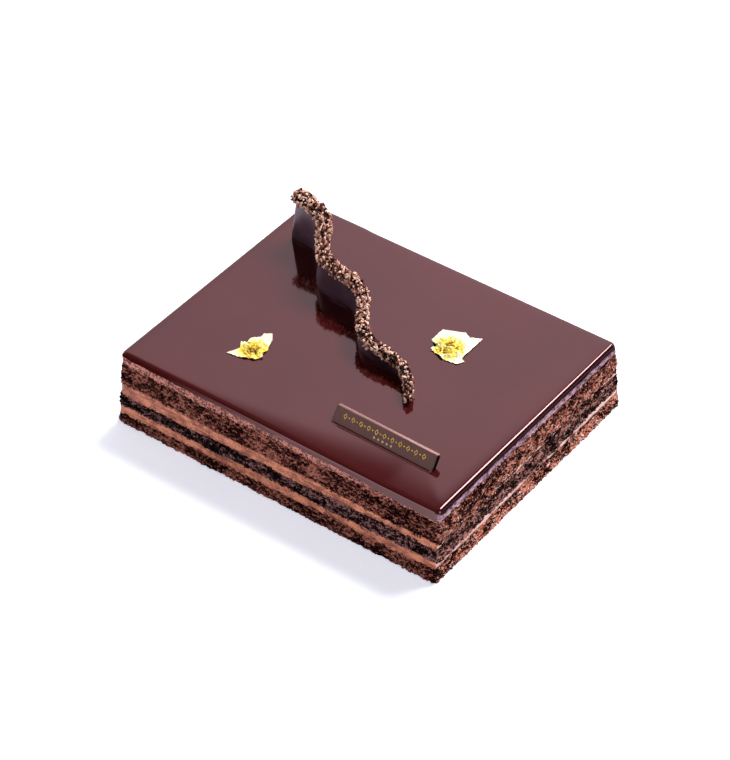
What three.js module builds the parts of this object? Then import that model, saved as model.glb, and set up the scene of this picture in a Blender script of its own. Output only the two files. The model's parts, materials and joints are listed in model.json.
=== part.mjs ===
// Rectangular chocolate entremet: three sheets of chocolate biscuit with ganache between
// them, a poured glaze on top, and a wavy ribbon, a small plaque and gold leaf as decoration.
// Millimetres, +Z up. The origin is the centre of the base, +X runs along the long side,
// and -Y is the front, where the top ganache thins from left to right.
import * as THREE from 'three';

// The cake as a block: its size at the top, and how far its cut sides lean out to the base.
const LENGTH = 160;
const WIDTH = 126;
const HEIGHT = 36;
const FLARE_LONG_SIDES = 3.6;
const FLARE_SHORT_SIDES = 1.4;
const CORNER_RADIUS = 1.4;
const LONG_SIDE_STEPS = 24;
const SHORT_SIDE_STEPS = 19;

// Where one layer ends and the next begins. The corners give the height above the base at
// the front left, front right, back right and back left; a wave runs round the cut sides.
const LEVELS = {
  base: { corners: [0, 0, 0, 0], wave: 0, phase: 0 },
  biscuitBottom: { corners: [5.4, 7.4, 7.4, 6.3], wave: 0.3, phase: 0.4 },
  ganacheLower: { corners: [8.7, 10.1, 9.9, 9.2], wave: 0.3, phase: 2.6 },
  biscuitMiddle: { corners: [14.9, 17.5, 18.2, 16.5], wave: 0.35, phase: 4.4 },
  ganacheUpper: { corners: [20.0, 19.3, 20.0, 20.2], wave: 0.25, phase: 1.3 },
  biscuitTop: { corners: [30.2, 30.4, 29.9, 30.3], wave: 0.3, phase: 3.1 },
  glazeHem: { corners: [34.3, 31.5, 30.9, 33.0], wave: 0.2, phase: 5.2 },
};
const LONG_WAVES = 9;
const SHORT_WAVES = 23;
const SHORT_WAVE_SHARE = 0.5;

// How far in from the cut sides the levels become flat.
const LEVEL_FROM = 9;

// The cut biscuit stands a little proud of the ganache, by an uneven amount.
const BISCUIT_PROUD = 0.25;
const BISCUIT_ROUGH = 0.2;

// The glaze: a plate with a rounded rim and a thin hem that has run down the sides.
const GLAZE_PLATE = 1.4;
const GLAZE_HEM = 0.9;
const GLAZE_RIM_RADIUS = 1.3;

// The ribbon: a chocolate strip on edge, along a wavy line from back left to middle right.
const RIBBON_START = new THREE.Vector2(-68.9, 40.5);
const RIBBON_END = new THREE.Vector2(33.4, -18.4);
const RIBBON_WAVE = 3.8;
const RIBBON_WAVES = 2.8;
const RIBBON_WAVES_LOST = 0.16;
const RIBBON_PHASE = -0.094;
const RIBBON_BOW = 0.9;
const RIBBON_THICKNESS = 1.4;
const RIBBON_LEAN = new THREE.Vector2(0.1, 0.06);
const RIBBON_STEPS = 52;
const RIBBON_AHEAD = 0.001;

// The crust of grains that covers the ribbon's upper edge, thick at the back, thin in front.
const CRUST_HEIGHT_BACK = 23.2;
const CRUST_HEIGHT_FRONT = 2.9;
const CRUST_RADIUS_BACK = 3.9;
const CRUST_RADIUS_FRONT = 2.1;
const CRUST_ROUGH = 0.16;
const CRUST_ARC_STEPS = 8;
const CRUST_OVERHANG = 1.0;
const CRUST_END_SHARE = 0.85;
const CRUST_GAP = 0.3;
const RIBBON_INTO_CRUST = 0.2;

// The plaque: a small bevelled tablet of dark chocolate that leans back on the glaze. Its
// height is measured up its back, and it turns about the foot of its back.
const PLAQUE_LENGTH = 50.6;
const PLAQUE_HEIGHT = 6.6;
const PLAQUE_THICKNESS = 2.7;
const PLAQUE_BEVEL = 0.5;
const PLAQUE_LEAN = THREE.MathUtils.degToRad(33);
const PLAQUE_TURN = THREE.MathUtils.degToRad(-1);
const PLAQUE_PLACE = new THREE.Vector2(39.65, -43.6);

// The gold leaf: two torn, crumpled flakes. Angles are in degrees, anticlockwise from +X.
const LEAF_STEPS = 26;
const LEAF_EDGE = 0.3;
const LEAF_TORN = 0.08;
const LEAF_FOLDS = [
  { share: 0.8, crumple: 0.9 },
  { share: 0.55, crumple: 1.5 },
  { share: 0.3, crumple: 1.9 },
];
const LEFT_LEAF = {
  place: new THREE.Vector2(-38.4, -28.3),
  radius: 6.3,
  corners: [
    { angle: 229, reach: 4.8, spread: 15 },
    { angle: 83, reach: 5.2, spread: 22 },
    { angle: 300, reach: 1.6, spread: 25 },
  ],
};
const RIGHT_LEAF = {
  place: new THREE.Vector2(26.6, 22.0),
  radius: 7.9,
  corners: [
    { angle: 61, reach: 5.0, spread: 18 },
    { angle: 156, reach: 2.2, spread: 20 },
    { angle: 234, reach: 1.4, spread: 18 },
    { angle: 320, reach: 3.2, spread: 20 },
  ],
};

// A repeatable uneven value between -1 and 1 for a whole number and a kind.
function uneven(index, kind) {
  const value = Math.sin(index * 12.9898 + kind * 78.233) * 43758.5453;
  return 2 * (value - Math.floor(value)) - 1;
}

// One station on the outline for each step round the cake, anticlockwise seen from above.
// "along" says how far the station lies along each side, "round" its direction at a corner.
function outlineStations() {
  const stations = [];
  const corners = [[1, -1], [1, 1], [-1, 1], [-1, -1]];
  corners.forEach(([sideX, sideY], corner) => {
    const startAngle = (corner - 1) * Math.PI / 2;
    for (let step = 0; step <= 2; step += 1) {
      const angle = startAngle + step * Math.PI / 4;
      const round = new THREE.Vector2(Math.cos(angle), Math.sin(angle));
      stations.push({ along: new THREE.Vector2(sideX, sideY), round });
    }
    const [nextX, nextY] = corners[(corner + 1) % corners.length];
    const steps = corner % 2 === 0 ? SHORT_SIDE_STEPS : LONG_SIDE_STEPS;
    const outward = startAngle + Math.PI / 2;
    const round = new THREE.Vector2(Math.cos(outward), Math.sin(outward));
    for (let step = 1; step < steps; step += 1) {
      const t = step / steps;
      const along = new THREE.Vector2(sideX + (nextX - sideX) * t, sideY + (nextY - sideY) * t);
      stations.push({ along, round });
    }
  });
  return stations;
}

const STATIONS = outlineStations();

// A point on the cut side at a station: grown or shrunk, and leaning out towards the base.
function sidePoint(station, z, grow = 0) {
  const lean = 1 - z / HEIGHT;
  const halfLength = LENGTH / 2 + FLARE_SHORT_SIDES * lean + grow - CORNER_RADIUS;
  const halfWidth = WIDTH / 2 + FLARE_LONG_SIDES * lean + grow - CORNER_RADIUS;
  return new THREE.Vector3(
    station.along.x * halfLength + station.round.x * CORNER_RADIUS,
    station.along.y * halfWidth + station.round.y * CORNER_RADIUS,
    z,
  );
}

// The height of a level at a station: a plane through the corners, with waves round the side.
function levelHeight(level, index) {
  const [frontLeft, frontRight, backRight, backLeft] = level.corners;
  const { along } = STATIONS[index];
  const right = (1 + along.x) / 2;
  const back = (1 + along.y) / 2;
  const front = THREE.MathUtils.lerp(frontLeft, frontRight, right);
  const rear = THREE.MathUtils.lerp(backLeft, backRight, right);
  const turn = 2 * Math.PI * index / STATIONS.length;
  const longWave = Math.sin(LONG_WAVES * turn + level.phase);
  const shortWave = Math.sin(SHORT_WAVES * turn + 2 * level.phase);
  const wave = level.wave * (longWave + SHORT_WAVE_SHARE * shortWave);
  return THREE.MathUtils.lerp(front, rear, back) + wave;
}

function meanHeight(level) {
  const sum = level.corners.reduce((total, height) => total + height, 0);
  return sum / level.corners.length;
}

// The ring of points where a level meets the cut sides, and the flat ring further in.
function edgeRing(level) {
  return STATIONS.map((station, index) => sidePoint(station, levelHeight(level, index)));
}

function flatRing(z, inset) {
  return STATIONS.map((station) => sidePoint(station, z, -inset));
}

function innerRing(level) {
  const z = meanHeight(level);
  return STATIONS.map((station) => {
    const point = sidePoint(station, HEIGHT, -LEVEL_FROM);
    return point.setZ(z);
  });
}

// The bulging ring half-way up a biscuit's cut side.
function biscuitRing(lower, upper, kind) {
  return STATIONS.map((station, index) => {
    const z = (levelHeight(lower, index) + levelHeight(upper, index)) / 2;
    return sidePoint(station, z, BISCUIT_PROUD + BISCUIT_ROUGH * uneven(index, kind));
  });
}

// A closed solid from rings of points with equal counts. Neighbouring rings are joined by
// quads cut along their shorter diagonal, and the first and last ring are closed by capFaces.
function solidFromRings(rings, capFaces) {
  const count = rings[0].length;
  const points = rings.flat();
  const faces = [];
  for (let ring = 0; ring + 1 < rings.length; ring += 1) {
    for (let index = 0; index < count; index += 1) {
      const next = (index + 1) % count;
      const a = ring * count + index;
      const b = ring * count + next;
      const c = a + count;
      const d = b + count;
      if (points[a].distanceToSquared(points[d]) < points[b].distanceToSquared(points[c])) {
        faces.push([a, b, d], [a, d, c]);
      } else {
        faces.push([a, b, c], [b, d, c]);
      }
    }
  }
  faces.push(...capFaces(points, count, rings.length));
  const geometry = new THREE.BufferGeometry().setFromPoints(points);
  geometry.setIndex(faces.flat());
  geometry.computeVertexNormals();
  return geometry;
}

// Caps that fan out from the middle of the first and last ring.
function fanCaps(points, count, ringCount) {
  const faces = [];
  const lastStart = (ringCount - 1) * count;
  [0, lastStart].forEach((start) => {
    const middle = new THREE.Vector3();
    for (let index = 0; index < count; index += 1) {
      middle.add(points[start + index]);
    }
    middle.divideScalar(count);
    const centre = points.push(middle) - 1;
    for (let index = 0; index < count; index += 1) {
      const here = start + index;
      const next = start + (index + 1) % count;
      faces.push(start === 0 ? [centre, next, here] : [centre, here, next]);
    }
  });
  return faces;
}

// Caps for a section that isn't seen whole from its middle, cut into triangles as a shape.
function sectionCaps(section) {
  const triangles = THREE.ShapeUtils.triangulateShape(section, []);
  return (points, count, ringCount) => {
    const lastStart = (ringCount - 1) * count;
    const first = triangles.map(([a, b, c]) => [a, c, b]);
    const last = triangles.map((triangle) => triangle.map((index) => index + lastStart));
    return [...first, ...last];
  };
}

function paint(color, roughness, metalness = 0) {
  return new THREE.MeshStandardMaterial({ color, roughness, metalness });
}

function namedMesh(name, geometry, material) {
  const mesh = new THREE.Mesh(geometry, material);
  mesh.name = name;
  return mesh;
}

// A sheet of biscuit between two levels, its cut side bulging a little.
function biscuitSheet(name, lower, upper, kind, color) {
  const rings = [
    innerRing(lower),
    edgeRing(lower),
    biscuitRing(lower, upper, kind),
    edgeRing(upper),
    innerRing(upper),
  ];
  return namedMesh(name, solidFromRings(rings, fanCaps), paint(color, 0.95));
}

// A spread layer of ganache between two levels.
function ganacheLayer(name, lower, upper, color) {
  const rings = [innerRing(lower), edgeRing(lower), edgeRing(upper), innerRing(upper)];
  return namedMesh(name, solidFromRings(rings, fanCaps), paint(color, 0.6));
}

// The inner line of the glaze's hem, shared by the glaze and the ganache that it covers.
function hemInnerRing() {
  return STATIONS.map((station, index) => {
    const z = levelHeight(LEVELS.glazeHem, index);
    return sidePoint(station, z, -GLAZE_HEM);
  });
}

// The ganache under the glaze: bare up to the glaze's hem, then stepped in behind it.
function topGanache() {
  const under = HEIGHT - GLAZE_PLATE;
  const rings = [
    innerRing(LEVELS.biscuitTop),
    edgeRing(LEVELS.biscuitTop),
    edgeRing(LEVELS.glazeHem),
    hemInnerRing(),
    flatRing(under, GLAZE_HEM),
  ];
  return namedMesh('ganache_top', solidFromRings(rings, fanCaps), paint(0xa66a62, 0.6));
}

// The glaze: a plate on the top ganache, with a rounded rim and a hem down the sides.
function chocolateGlaze() {
  const under = HEIGHT - GLAZE_PLATE;
  const rimRing = (angle) => {
    const inset = GLAZE_RIM_RADIUS * (1 - Math.cos(angle));
    const drop = GLAZE_RIM_RADIUS * (1 - Math.sin(angle));
    return flatRing(HEIGHT - drop, inset);
  };
  const rings = [
    flatRing(under, GLAZE_HEM),
    hemInnerRing(),
    edgeRing(LEVELS.glazeHem),
    rimRing(0),
    rimRing(Math.PI / 4),
    rimRing(Math.PI / 2),
  ];
  return namedMesh('chocolate_glaze', solidFromRings(rings, fanCaps), paint(0x5b3133, 0.12));
}

// The ribbon's line on the glaze at t from 0, the back end, to 1, the front tip.
function ribbonPoint(t) {
  const along = RIBBON_END.clone().sub(RIBBON_START);
  const across = new THREE.Vector2(-along.y, along.x).normalize();
  const waves = (RIBBON_WAVES - RIBBON_WAVES_LOST * t) * t;
  const wave = RIBBON_WAVE * Math.sin(2 * Math.PI * (waves + RIBBON_PHASE));
  const bow = RIBBON_BOW * 4 * t * (1 - t);
  const point = RIBBON_START.clone().addScaledVector(along, t);
  return point.addScaledVector(across, wave - bow);
}

// The ribbon's frame at t: its foot, its sideways direction and the crust's height there.
function ribbonFrame(t) {
  const foot = ribbonPoint(t);
  const ahead = ribbonPoint(t + RIBBON_AHEAD).sub(ribbonPoint(t - RIBBON_AHEAD)).normalize();
  const side = new THREE.Vector2(-ahead.y, ahead.x);
  const height = THREE.MathUtils.lerp(CRUST_HEIGHT_BACK, CRUST_HEIGHT_FRONT, t);
  const radius = THREE.MathUtils.lerp(CRUST_RADIUS_BACK, CRUST_RADIUS_FRONT, t);
  return { foot, ahead, side, height, radius };
}

// A point beside the leaning ribbon: sideways from its middle, and up from the glaze.
function besideRibbon(frame, sideways, up, forward = 0) {
  const place = frame.foot.clone();
  place.addScaledVector(frame.side, sideways);
  place.addScaledVector(RIBBON_LEAN, up);
  place.addScaledVector(frame.ahead, forward);
  return new THREE.Vector3(place.x, place.y, HEIGHT + up);
}

// The ribbon itself, a strip that stands on edge and gets lower towards the front.
function chocolateRibbon() {
  const half = RIBBON_THICKNESS / 2;
  const rings = [];
  for (let step = 0; step <= RIBBON_STEPS; step += 1) {
    const frame = ribbonFrame(step / RIBBON_STEPS);
    const top = frame.height + RIBBON_INTO_CRUST * frame.radius;
    rings.push([
      besideRibbon(frame, half, 0),
      besideRibbon(frame, half, top),
      besideRibbon(frame, -half, top),
      besideRibbon(frame, -half, 0),
    ]);
  }
  const geometry = solidFromRings(rings, fanCaps);
  return namedMesh('chocolate_ribbon', geometry, paint(0x3a2527, 0.3));
}

// The crust's section in units of sideways and up from its middle: a lumpy round form
// with a slot for the ribbon's edge from below.
function crustSection(radius, kind) {
  const slot = RIBBON_THICKNESS / 2 + CRUST_GAP;
  const slotTop = RIBBON_INTO_CRUST * radius + CRUST_GAP;
  const lip = Math.asin(slot / radius);
  const section = [];
  for (let step = 0; step <= CRUST_ARC_STEPS; step += 1) {
    const angle = lip + (2 * Math.PI - 2 * lip) * step / CRUST_ARC_STEPS;
    const onLip = step === 0 || step === CRUST_ARC_STEPS;
    const reach = onLip ? radius : radius * (1 + CRUST_ROUGH * uneven(step, kind));
    section.push(new THREE.Vector2(reach * Math.sin(angle), -reach * Math.cos(angle)));
  }
  section.push(new THREE.Vector2(-slot, slotTop), new THREE.Vector2(slot, slotTop));
  return section;
}

function grainCrust() {
  const rings = [];
  for (let step = 0; step <= RIBBON_STEPS; step += 1) {
    const frame = ribbonFrame(step / RIBBON_STEPS);
    const atEnd = step === 0 || step === RIBBON_STEPS;
    const radius = atEnd ? CRUST_END_SHARE * frame.radius : frame.radius;
    const forward = atEnd ? CRUST_OVERHANG * Math.sign(step - 1) : 0;
    const section = crustSection(radius, step);
    rings.push(section.map(({ x, y }) => besideRibbon(frame, x, frame.height + y, forward)));
  }
  const caps = sectionCaps(crustSection(CRUST_RADIUS_BACK, 0));
  return namedMesh('grain_crust', solidFromRings(rings, caps), paint(0x8a6450, 0.9));
}

// The plaque: a bevelled tablet, leant back, with its foot cut level where it meets the glaze.
function chocolatePlaque() {
  const halfLength = PLAQUE_LENGTH / 2 - PLAQUE_BEVEL;
  const outline = new THREE.Shape();
  outline.moveTo(-halfLength, 0);
  outline.lineTo(halfLength, 0);
  outline.lineTo(halfLength, PLAQUE_HEIGHT - PLAQUE_BEVEL);
  outline.lineTo(-halfLength, PLAQUE_HEIGHT - PLAQUE_BEVEL);
  const geometry = new THREE.ExtrudeGeometry(outline, {
    depth: PLAQUE_THICKNESS - 2 * PLAQUE_BEVEL,
    bevelThickness: PLAQUE_BEVEL,
    bevelSize: PLAQUE_BEVEL,
    bevelSegments: 1,
  });
  geometry.rotateX(Math.PI / 2 - PLAQUE_LEAN);
  geometry.translate(0, 0, HEIGHT);
  const place = geometry.getAttribute('position');
  const slope = Math.tan(PLAQUE_LEAN);
  for (let index = 0; index < place.count; index += 1) {
    const rise = place.getZ(index) - HEIGHT;
    if (rise < PLAQUE_THICKNESS * Math.sin(PLAQUE_LEAN) + PLAQUE_BEVEL) {
      place.setXYZ(index, place.getX(index), place.getY(index) - rise * slope, HEIGHT);
    }
  }
  const mesh = namedMesh('chocolate_plaque', geometry, paint(0x3d2a2a, 0.35));
  mesh.rotation.z = PLAQUE_TURN;
  mesh.position.set(PLAQUE_PLACE.x, PLAQUE_PLACE.y, 0);
  return mesh;
}

// How far a leaf reaches in a direction: a round body with torn corners.
function leafReach(leaf, degrees) {
  let reach = leaf.radius;
  leaf.corners.forEach((corner) => {
    const away = THREE.MathUtils.euclideanModulo(degrees - corner.angle + 180, 360) - 180;
    reach += corner.reach * Math.max(0, 1 - Math.abs(away) / corner.spread);
  });
  return reach;
}

// A crumpled flake of gold leaf lying on the glaze: a thin edge, and folds further in.
function goldLeaf(name, leaf, kind) {
  const ringOf = (share, heightAt) => {
    const ring = [];
    for (let step = 0; step < LEAF_STEPS; step += 1) {
      const degrees = 360 * step / LEAF_STEPS;
      const angle = THREE.MathUtils.degToRad(degrees);
      const reach = share * leafReach(leaf, degrees) * (1 + LEAF_TORN * uneven(step, kind));
      const x = leaf.place.x + reach * Math.cos(angle);
      const y = leaf.place.y + reach * Math.sin(angle);
      ring.push(new THREE.Vector3(x, y, HEIGHT + heightAt(step)));
    }
    return ring;
  };
  const rings = [ringOf(1, () => 0), ringOf(1, () => LEAF_EDGE)];
  LEAF_FOLDS.forEach(({ share, crumple }, fold) => {
    const ridge = (step) => (1 + uneven(Math.floor(step / 2), kind + fold + 1)) / 2;
    rings.push(ringOf(share, (step) => LEAF_EDGE + crumple * ridge(step)));
  });
  return namedMesh(name, solidFromRings(rings, fanCaps), paint(0xe8cf7a, 0.35, 0.9));
}

const entremet = new THREE.Group();
entremet.add(
  biscuitSheet('biscuit_bottom', LEVELS.base, LEVELS.biscuitBottom, 1, 0x5a3430),
  ganacheLayer('ganache_lower', LEVELS.biscuitBottom, LEVELS.ganacheLower, 0xb9735a),
  biscuitSheet('biscuit_middle', LEVELS.ganacheLower, LEVELS.biscuitMiddle, 2, 0x352224),
  ganacheLayer('ganache_upper', LEVELS.biscuitMiddle, LEVELS.ganacheUpper, 0xb9735a),
  biscuitSheet('biscuit_top', LEVELS.ganacheUpper, LEVELS.biscuitTop, 3, 0x553230),
  topGanache(),
  chocolateGlaze(),
  chocolateRibbon(),
  grainCrust(),
  chocolatePlaque(),
  goldLeaf('gold_leaf_left', LEFT_LEAF, 10),
  goldLeaf('gold_leaf_right', RIGHT_LEAF, 20),
);

export default entremet;
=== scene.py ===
import json
import math
import random

import bpy
from mathutils import Euler, Matrix, Vector, noise

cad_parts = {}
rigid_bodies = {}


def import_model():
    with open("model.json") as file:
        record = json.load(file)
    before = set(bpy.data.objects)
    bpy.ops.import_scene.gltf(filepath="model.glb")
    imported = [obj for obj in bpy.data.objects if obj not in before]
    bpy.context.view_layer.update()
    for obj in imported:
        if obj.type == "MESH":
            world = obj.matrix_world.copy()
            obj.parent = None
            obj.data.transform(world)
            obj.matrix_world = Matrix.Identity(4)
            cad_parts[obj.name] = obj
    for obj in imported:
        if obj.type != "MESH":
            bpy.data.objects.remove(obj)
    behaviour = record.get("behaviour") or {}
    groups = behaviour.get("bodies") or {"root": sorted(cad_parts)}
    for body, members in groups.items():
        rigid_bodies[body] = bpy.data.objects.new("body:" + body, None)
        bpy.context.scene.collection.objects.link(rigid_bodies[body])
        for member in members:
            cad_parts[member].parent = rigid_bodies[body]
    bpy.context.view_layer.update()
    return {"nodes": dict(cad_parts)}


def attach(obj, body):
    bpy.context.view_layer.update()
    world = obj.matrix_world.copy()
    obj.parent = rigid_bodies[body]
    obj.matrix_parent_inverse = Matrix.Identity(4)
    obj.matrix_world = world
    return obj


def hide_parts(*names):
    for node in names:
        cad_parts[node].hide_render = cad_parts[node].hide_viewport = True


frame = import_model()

bpy.ops.object.select_all(action="DESELECT")

# ---------------------------------------------------------------- bottom biscuit
# A thin sheet of dark chocolate sponge, baked flat and cut through with a long knife. The cut
# side shows the torn, moist crumb, brown, with painted shade making the pores nearly black.
MM = 0.001

SIDE_NORMAL = 0.75
BISCUIT_CUTS = 20
BISCUIT_TEAR = 0.4 * MM
BISCUIT_TEAR_SIZE = 2.2 * MM
BISCUIT_DRAG = 0.9 * MM
BISCUIT_DRAG_SIZE = 4 * MM
CRUMB_STRAND = 0.95 * MM
CRUMB_GRIT = 0.5 * MM
CRUMB_PATCH = 5 * MM
CRUMB_GAINS = (3.0, 2.3, 2.2)
CREAM_GLINT_FLECK = 0.77 * MM
CREAM_CATCH = (0.45, 0.9)
SMEAR_EVERYWHERE = 0.05
SPONGE_PORE_SHADE = "120000"
SPONGE_CRUMB = "401b17"
SPONGE_CREST_LIGHT = "9c6052"
SMEARED_CREAM_AND_GLINTS = ("c0694a", "fff0ec")


def graded(value, start, end, low=0.0, high=1.0):
    """Goes from low to high as a value goes from start to end, and stays level past them."""
    share = min(max((value - start) / (end - start), 0), 1)
    return low + share * (high - low)


def linear(hex_colour):
    """An sRGB colour such as 5a3430 as linear RGBA."""
    channels = [int(hex_colour[i:i + 2], 16) / 255 for i in (0, 2, 4)]
    return [c / 12.92 if c <= 0.04045 else ((c + 0.055) / 1.055) ** 2.4 for c in channels] + [1]


def new_material(name):
    """An empty material and its node tree."""
    material = bpy.data.materials.new(name)
    material.use_nodes = True
    material.node_tree.nodes.clear()
    return material, material.node_tree


def add_node(tree, kind, inputs=None, **settings):
    """Adds a shader node, sets it up, and links or fills its inputs."""
    node = tree.nodes.new(kind)
    for name, value in settings.items():
        setattr(node, name, value)
    for name, value in (inputs or {}).items():
        if isinstance(value, bpy.types.NodeSocket):
            tree.links.new(value, node.inputs[name])
        else:
            node.inputs[name].default_value = value
    return node


def set_ramp(ramp, stops):
    """Gives a colour ramp its stops, each a place from 0 to 1 and an sRGB colour."""
    elements = ramp.color_ramp.elements
    while len(elements) < len(stops):
        elements.new(0.5)
    for element, (place, hex_colour) in zip(elements, stops):
        element.position = place
        element.color = linear(hex_colour)


def crumb_material(name, pores, crumb, crests):
    """Cut sponge, moist and matt: brown crumb, painted darker in the pores as painted shade and paler on the
    crests as painted light.
    """
    material, tree = new_material(name)
    place = add_node(tree, "ShaderNodeTexCoord").outputs["Object"]
    along = add_node(tree, "ShaderNodeMapping", {"Vector": place, "Scale": (0.5, 0.5, 1)}).outputs["Vector"]
    depth = add_node(tree, "ShaderNodeAttribute", attribute_name="crumb").outputs["Fac"]
    smear = add_node(tree, "ShaderNodeAttribute", attribute_name="smear").outputs["Fac"]
    strand = add_node(tree, "ShaderNodeTexNoise", {"Vector": along, "Scale": 1 / CRUMB_STRAND, "Detail": 3})
    grit = add_node(tree, "ShaderNodeTexNoise", {"Vector": place, "Scale": 1 / CRUMB_GRIT, "Detail": 2})
    patch = add_node(tree, "ShaderNodeTexNoise", {"Vector": along, "Scale": 1 / CRUMB_PATCH, "Detail": 2})
    # The colour follows the relief: deep places are painted darker, as painted shade in the pores, and
    # raised ones paler, as painted light on the crests, with random tone from the noises.
    shade = depth
    for source, gain in zip((strand, grit, patch), CRUMB_GAINS):
        shade = add_node(
            tree, "ShaderNodeMath", {0: source.outputs["Fac"], 1: gain, 2: shade}, operation="MULTIPLY_ADD"
        ).outputs[0]
    centred = add_node(
        tree, "ShaderNodeMath", {0: shade, 1: -sum(CRUMB_GAINS) / 2}, operation="ADD"
    ).outputs[0]
    colour = add_node(tree, "ShaderNodeValToRGB", {"Fac": centred})
    set_ramp(colour, [(0.15, pores), (0.5, crumb), (1.0, crests)])
    raised = add_node(
        tree, "ShaderNodeMapRange", {0: centred, 1: CREAM_CATCH[0], 2: CREAM_CATCH[1]}
    ).outputs[0]
    cream = add_node(tree, "ShaderNodeMath", {0: raised, 1: smear}, operation="MULTIPLY", use_clamp=True)
    smeared = add_node(tree, "ShaderNodeMix", data_type="RGBA")
    tree.links.new(cream.outputs[0], smeared.inputs[0])
    tree.links.new(colour.outputs["Color"], smeared.inputs[6])
    # The smear is ganache cream flecked with near-white painted glints; laid thick on the right-facing cut
    # it also paints that end lighter, as painted light.
    glint_fleck = add_node(tree, "ShaderNodeTexNoise", {"Vector": place, "Scale": 1 / CREAM_GLINT_FLECK, "Detail": 2})
    cream_and_glints = add_node(tree, "ShaderNodeValToRGB", {"Fac": glint_fleck.outputs["Fac"]})
    set_ramp(cream_and_glints, [(0.5, SMEARED_CREAM_AND_GLINTS[0]), (0.72, SMEARED_CREAM_AND_GLINTS[1])])
    tree.links.new(cream_and_glints.outputs["Color"], smeared.inputs[7])
    bump = add_node(
        tree, "ShaderNodeBump", {"Height": strand.outputs["Fac"], "Strength": 0.6, "Distance": 0.3 * MM}
    )
    surface = add_node(tree, "ShaderNodeBsdfPrincipled", {
        "Base Color": smeared.outputs[2],
        "Roughness": 0.7,
        "IOR": 1.45,
        "Specular IOR Level": 0.03,
        "Normal": bump.outputs["Normal"],
    })
    add_node(tree, "ShaderNodeOutputMaterial", {"Surface": surface.outputs["BSDF"]})
    return material


def solid_copy(node, name):
    """A copy of a part's solid with its loose triangles joined up."""
    bpy.ops.object.select_all(action="DESELECT")
    source = frame["nodes"][node]
    source.select_set(True)
    bpy.context.view_layer.objects.active = source
    bpy.ops.object.duplicate()
    piece = bpy.context.active_object
    bpy.ops.object.parent_clear(type="CLEAR_KEEP_TRANSFORM")
    piece.name = name
    bpy.ops.object.mode_set(mode="EDIT")
    bpy.ops.mesh.select_all(action="SELECT")
    bpy.ops.mesh.remove_doubles(threshold=0.01 * MM)
    bpy.ops.mesh.select_all(action="DESELECT")
    bpy.ops.object.mode_set(mode="OBJECT")
    return piece


def divide_side(piece, cuts):
    """Divides a layer's cut side finely, and keeps that side as a vertex group."""
    for face in piece.data.polygons:
        face.select = abs(face.normal.z) < SIDE_NORMAL
    bpy.ops.object.mode_set(mode="EDIT")
    bpy.ops.mesh.select_mode(type="FACE")
    bpy.ops.mesh.subdivide(number_cuts=cuts)
    bpy.ops.object.mode_set(mode="OBJECT")
    side = piece.vertex_groups.new(name="side")
    corners = {index for face in piece.data.polygons if face.select for index in face.vertices}
    side.add(list(corners), 1.0, "REPLACE")
    bpy.ops.object.shade_smooth()
    return [piece.data.vertices[index] for index in corners]


def roughen(piece, kind, size, height, middle=0.5, **settings):
    """Pushes a layer's cut side in and out, with a texture of the given size and height."""
    texture = bpy.data.textures.new(f"{piece.name}_{kind.lower()}", kind)
    texture.noise_scale = size
    for key, value in settings.items():
        setattr(texture, key, value)
    modifier = piece.modifiers.new("roughen", "DISPLACE")
    modifier.texture = texture
    modifier.strength = height
    modifier.mid_level = middle
    modifier.vertex_group = "side"
    bpy.context.view_layer.objects.active = piece
    bpy.ops.object.modifier_apply(modifier=modifier.name)


def crumble(piece, seed, drag_down, drag_up, smears):
    """Tears the cut side of a biscuit into crumbs, and notes how far each place stands out.

    At the right end the knife has dragged the crumb over the ganache above and below, and has
    smeared ganache over it, by the first of the smears at its foot and the second at its top.
    """
    side = divide_side(piece, BISCUIT_CUTS)
    smear = piece.data.attributes.new("smear", "FLOAT", "POINT")
    low = min(vertex.co.z for vertex in side)
    high = max(vertex.co.z for vertex in side)
    facing = [vertex.normal.x for vertex in side]
    for vertex, rightward in zip(side, facing):
        spot = vertex.co + Vector((seed * MM, 0, 0))
        height = graded(vertex.co.z, low, high)
        right_end = graded(rightward, 0.4, 0.9)
        smear.data[vertex.index].value = SMEAR_EVERYWHERE + right_end * graded(height, 0, 1, *smears)
        drag = drag_up * graded(height, 0.5, 1) - drag_down * graded(height, 0.5, 0)
        drag *= right_end * (1 + 1.2 * noise.noise(spot / BISCUIT_DRAG_SIZE))
        vertex.co.z += drag + BISCUIT_TEAR * noise.noise(spot / BISCUIT_TEAR_SIZE)
    before = [(vertex.index, vertex.co.copy(), vertex.normal.copy()) for vertex in side]
    roughen(piece, "CLOUDS", size=4 * MM, height=0.7 * MM, noise_depth=1)
    roughen(piece, "VORONOI", size=1.3 * MM, height=-0.9 * MM, middle=0.4)
    roughen(piece, "CLOUDS", size=0.8 * MM, height=1.3 * MM, noise_depth=1)
    depth = piece.data.attributes.new("crumb", "FLOAT", "POINT")
    for index, place, out in before:
        vertex = piece.data.vertices[index]
        depth.data[index].value = 0.5 + 0.7 * (vertex.co - place).dot(out) / MM
        vertex.co.z = max(vertex.co.z, 0.0)


def dress(piece, material, slot, *nodes):
    """Gives a piece its material, and names the solids that it stands for, which it hides. Its slot is not
    used.
    """
    piece.data.materials.clear()
    piece.data.materials.append(material)
    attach(piece, "root")
    if nodes:
        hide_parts(*nodes)


chocolate_sponge = crumb_material("chocolate_sponge", SPONGE_PORE_SHADE, SPONGE_CRUMB, SPONGE_CREST_LIGHT)
bottom_biscuit = solid_copy("biscuit_bottom", "bottom_biscuit_sheet")
crumble(bottom_biscuit, seed=1, drag_down=0, drag_up=BISCUIT_DRAG, smears=(1.7, 1.4))
dress(bottom_biscuit, chocolate_sponge, "chocolate_biscuit", "biscuit_bottom")

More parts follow.
